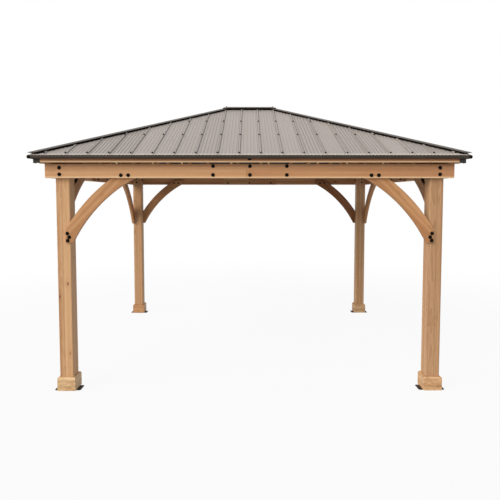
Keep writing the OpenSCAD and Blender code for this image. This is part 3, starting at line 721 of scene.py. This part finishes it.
def boltPlaces(rows, isHead):
    places, outward = [], []
    for side in sideTurns:
        isFront = side in ("front", "back")
        along, out = postOut if isFront else postOut[::-1]  # to the posts' faces along this side, and outward
        heights = rows["postHeights"]["front" if isFront else "side"]
        atPost = [(s * (along - rows["atPost"]), h) for s in (-1, 1) for h in heights]
        atBrace = [(s * (along - d), rows["braceHeight"]) for s in (-1, 1) for d in rows["braceHead"]]
        atSplice = [(x, h) for x in rows["splice"] for h in rows["spliceHeights"]]
        atFoot = [(s * (along - d), h) for s in (-1, 1) for d, h in rows["foot"]]
        if isHead:
            fasciaOut = fasciaFace if isFront else fasciaFace + ridgeHalf
            groups = [(atPost + atBrace + atSplice, out + beamFace), (atFoot, out + braceFace),
                      ([rows["fascia"]], fasciaOut)]
        else:
            groups = [(atPost, out - postWidth), (atBrace + atSplice, out + braceBack)]
        arrow = toSide(side, np.array([[0.0, -1.0 if isHead else 1.0, 0.0]]))
        for spots, face in groups:
            places.append(toSide(side, np.array([(x, -face, z) for x, z in spots])))
            outward.append(np.repeat(arrow, len(spots), 0))
    return np.concatenate(places), np.concatenate(outward)


def makeBolts():
    for name, shape, isHead in (("bolt_heads", boltShape, True), ("bolt_nuts", nutShape, False)):
        points, faces = turned(shape["rings"], shape["sides"])
        places, outward = boltPlaces(boltRows, isHead)
        piece = copiesMesh(name, points, faces, places, outward, blackSteel)
        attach(piece, "root")
        print(name, len(places))


# frame of a slope: along the eave, up the slope and out of it, for a place (s, q, n) on the front slope
def onSlope(spots, eave):
    s, q, n = np.asarray(spots, float).T
    c, t = math.cos(pitch), math.sin(pitch)
    return np.stack([s, -eave + q * c - n * t, eaveZ + q * t + n * c], -1)


slopes = dict(front=(halfWide, halfLong), right=(halfLong, halfWide), back=(halfWide, halfLong),
              left=(halfLong, halfWide))  # distance of the eave, half its length
# roofing screws on the seams, in three rows that keep clear of the hip caps
screwShape = dict(rings=[(0.0102, -0.0006, 0), (0.0102, 0.0018, 0), (0.0094, 0.0030, 0), (0.0076, 0.0034, 0),
                         (0.0066, 0.0034, 1), (0.0066, 0.0098, 1), (0.0058, 0.0106, 0)], sides=12)
screwRows = dict(fromEave=(0.030, 0.633, 1.181), mostSeams=12, clearOfCap=0.03)


def makeRoofScrews(rows):
    points, faces = turned(screwShape["rings"], screwShape["sides"])
    seam = (np.arange(-rows["mostSeams"], rows["mostSeams"]) + 0.5) * seamPitch
    upward = np.array([[0.0, -math.sin(pitch), math.cos(pitch)]])
    places, outward = [], []
    for side, (eave, half) in slopes.items():
        row, across = np.meshgrid(rows["fromEave"], seam, indexing="ij")
        isClear = np.abs(across) < half - row - capWing * math.sqrt(2) - rows["clearOfCap"]
        row, across = row[isClear], across[isClear]
        spots = np.stack([across, row / math.cos(pitch), np.full(len(row), seamLevel)], -1)
        places.append(toSide(side, onSlope(spots, eave)))
        outward.append(np.repeat(toSide(side, upward), len(row), 0))
    places, outward = np.concatenate(places), np.concatenate(outward)
    piece = copiesMesh("roof_screws", points, faces, places, outward, blackSteel)
    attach(piece, "root")
    print("roof screws", len(places))


# screws along the crest of the ridge cap, their washers reaching down onto its fold
ridgeScrewLook = dict(along=(-0.31, 0.31), foot=-0.005)


def makeRidgeScrews(look):
    rings = [(screwShape["rings"][0][0], look["foot"], 0), *screwShape["rings"][1:]]
    points, faces = turned(rings, screwShape["sides"])
    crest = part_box("ridge_cap")[1].z
    places = np.array([(x, 0.0, crest) for x in look["along"]])
    outward = np.tile([0.0, 0.0, 1.0], (len(places), 1))
    piece = copiesMesh("ridge_screws", points, faces, places, outward, greyScrew)
    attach(piece, "root")
    print("ridge screws", len(places))


# foam fillers: a four-cornered profile carried along under the closure strips, from the sheet to the
# tops of the seams; sunk is the share of the sheet's thickness at which it starts
closureLook = dict(inset=0.0065, width=0.013, fromEave=0.016, fromRidgeEnd=0.03, sunk=0.3)


def closureRun(start, end, inward, look):
    ends = np.array([start, end])  # (s, q) at both ends
    low, high, width = sheetThick * look["sunk"], seamLevel, look["width"]
    corners = np.array([(0, low), (width, low), (width, high), (0, high)])
    flat = ends[:, None, :] + corners[None, :, :1] * np.asarray(inward)[None, None, :]
    tall = np.repeat(corners[None, :, 1:], 2, 0)
    return np.concatenate([flat, tall], -1).reshape(-1, 3)


def makeClosures(look):
    runs = []
    for side, (eave, half) in slopes.items():
        c = (capWing - look["inset"]) / math.sqrt(2)
        top = half - halfWide  # half the ridge's length on the long slopes, 0 on the end ones
        low, high = look["fromEave"], halfWide - c
        for s in (-1, 1):
            start, end = ((s * (half - d - 2 * c), d / math.cos(pitch)) for d in (low, high))
            first, last = (end, start) if s > 0 else (start, end)  # so that faces point outwards on both hips
            run = closureRun(first, last, (s * math.sqrt(0.5), math.sqrt(0.5)), look)
            runs.append(toSide(side, onSlope(run, eave)))
        if top > 0:
            q = (halfWide - capWing + look["inset"]) / math.cos(pitch)
            reach = top - look["fromRidgeEnd"]
            run = closureRun((-reach, q), (reach, q), (0.0, 1.0), look)
            runs.append(toSide(side, onSlope(run, eave)))
    faces = [ringQuads(2, 4), np.array([[3, 2, 1, 0], [4, 5, 6, 7]])]
    faces = repeated(faces, len(runs[0]), len(runs))
    piece = makeMesh("closure_fillers", np.stack(runs), faces, closureFoam)
    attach(piece, "root")
    print("closures", len(runs))


makeBolts()
makeRoofScrews(screwRows)
makeRidgeScrews(ridgeScrewLook)
makeClosures(closureLook)
